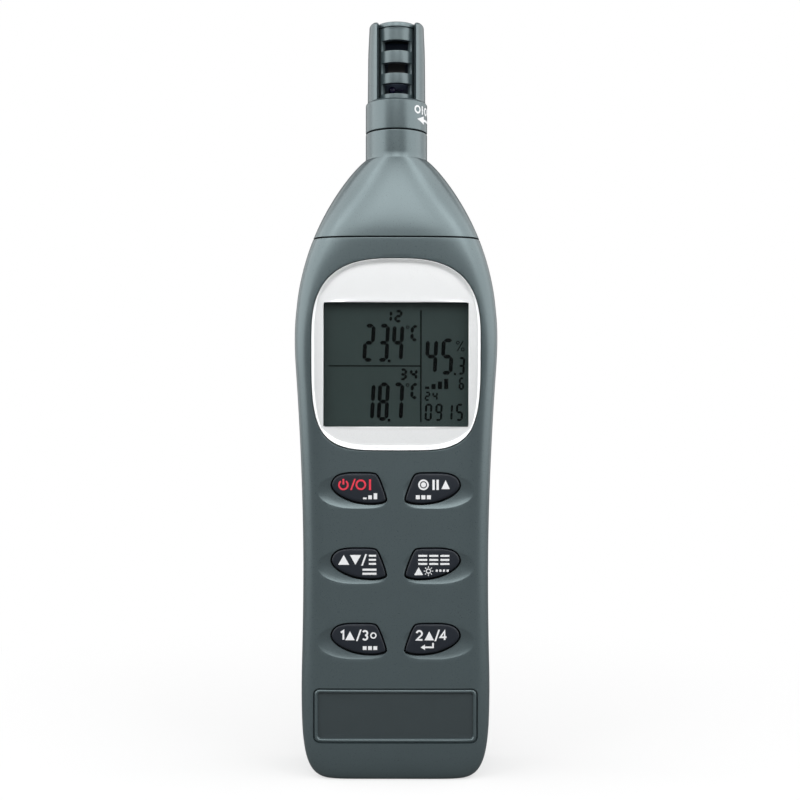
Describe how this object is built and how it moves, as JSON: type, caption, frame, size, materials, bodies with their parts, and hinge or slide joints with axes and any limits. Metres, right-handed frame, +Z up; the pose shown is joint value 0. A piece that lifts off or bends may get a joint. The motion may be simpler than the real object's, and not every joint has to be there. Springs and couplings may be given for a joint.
{
  "type": "digital sling psychrometer",
  "caption": "Handheld digital psychrometer: slim two-shell housing with display and rubber keys, tapered nose, and a ventilated sensor head under a turning guard.",
  "frame": {"origin": "middle of the flat foot, on the axis of the sensor head", "axes": "+Z runs up the instrument to the sensor head, the display and keys face -Y, +X is to the right when looking at the display"},
  "size_m": [0.0494, 0.024, 0.1806],
  "materials": {
    "housing_front": "fine satin grain, blue-grey",
    "housing_rear": "fine satin grain, blue-grey",
    "battery_door": "fine satin grain, blue-grey",
    "nose_cone": "satin, lighter blue-grey",
    "sensor_cage": "satin, dark grey",
    "sensor_guard": "satin, lighter blue-grey",
    "bezel_silver": "silver coat, low gloss",
    "lens_clear": "clear, polished",
    "lcd_glass": "dark green-grey liquid crystal",
    "holder_white": "moulded, plain",
    "diffuser_white": "milky light guide",
    "contact_rubber": "layered conducting rubber",
    "board_green": "glass-fibre laminate with solder resist",
    "chip_black": "moulded epoxy",
    "metal_can": "drawn can",
    "capacitor_sleeve": "shrink sleeve",
    "keypad_rubber": "silicone rubber",
    "key_rubber": "silicone rubber, blue-black",
    "dome_steel": "snap dome",
    "screw_steel": "zinc plated",
    "spring_steel": "nickel plated",
    "battery_sleeve": "plain printed sleeve without lettering",
    "sensor_board": "dark solder resist",
    "sensor_white": "porous cap",
    "sensor_bead": "epoxy bead",
    "lead_sleeve": "soft sleeve",
    "connector_white": "moulded nylon"
  },
  "bodies": {
    "housing": {"front_cover": "housing_front", "rear_cover": "housing_rear", "nose_cone": "nose_cone", "sensor_cage": "sensor_cage", "display_bezel": "bezel_silver", "display_lens": "lens_clear", "lcd_glass": "lcd_glass", "lcd_holder": "holder_white", "lcd_diffuser": "diffuser_white", "contact_strip": "contact_rubber", "main_board": "board_green", "main_chip": "chip_black", "quartz_crystal": "metal_can", "capacitors": "capacitor_sleeve", "resistors": "chip_black", "keypad_mat": "keypad_rubber", "key_domes": "dome_steel", "board_screws": "screw_steel", "housing_screws": "screw_steel", "battery_springs": "spring_steel", "battery_contacts": "spring_steel", "battery_left": "battery_sleeve", "battery_middle": "battery_sleeve", "battery_right": "battery_sleeve", "sensor_board": "sensor_board", "humidity_sensor": "sensor_white", "temperature_sensor": "sensor_bead", "sensor_leads": "lead_sleeve", "lead_connector": "connector_white"},
    "guard": {"sensor_guard": "sensor_guard"},
    "door": {"battery_door": "battery_door"},
    "key_upper_left": {"key_upper_left": "key_rubber"},
    "key_upper_right": {"key_upper_right": "key_rubber"},
    "key_middle_left": {"key_middle_left": "key_rubber"},
    "key_middle_right": {"key_middle_right": "key_rubber"},
    "key_lower_left": {"key_lower_left": "key_rubber"},
    "key_lower_right": {"key_lower_right": "key_rubber"}
  },
  "joints": [
    {"name": "guard_turn", "type": "hinge", "parent": "housing", "child": "guard", "pos_m": [0, 0, 0.165], "axis": [0, 0, 1], "range_deg": [-90, 0]},
    {"name": "door_swing", "type": "hinge", "parent": "housing", "child": "door", "pos_m": [0, 0.013, 0.0145], "axis": [-1, 0, 0], "range_deg": [0, 90]},
    {"name": "key_upper_left_press", "type": "slide", "parent": "housing", "child": "key_upper_left", "axis": [0, 1, 0], "range_m": [0, 0.0008], "stiffness_N_per_m": 1500},
    {"name": "key_upper_right_press", "type": "slide", "parent": "housing", "child": "key_upper_right", "axis": [0, 1, 0], "range_m": [0, 0.0008], "stiffness_N_per_m": 1500},
    {"name": "key_middle_left_press", "type": "slide", "parent": "housing", "child": "key_middle_left", "axis": [0, 1, 0], "range_m": [0, 0.0008], "stiffness_N_per_m": 1500},
    {"name": "key_middle_right_press", "type": "slide", "parent": "housing", "child": "key_middle_right", "axis": [0, 1, 0], "range_m": [0, 0.0008], "stiffness_N_per_m": 1500},
    {"name": "key_lower_left_press", "type": "slide", "parent": "housing", "child": "key_lower_left", "axis": [0, 1, 0], "range_m": [0, 0.0008], "stiffness_N_per_m": 1500},
    {"name": "key_lower_right_press", "type": "slide", "parent": "housing", "child": "key_lower_right", "axis": [0, 1, 0], "range_m": [0, 0.0008], "stiffness_N_per_m": 1500}
  ]
}
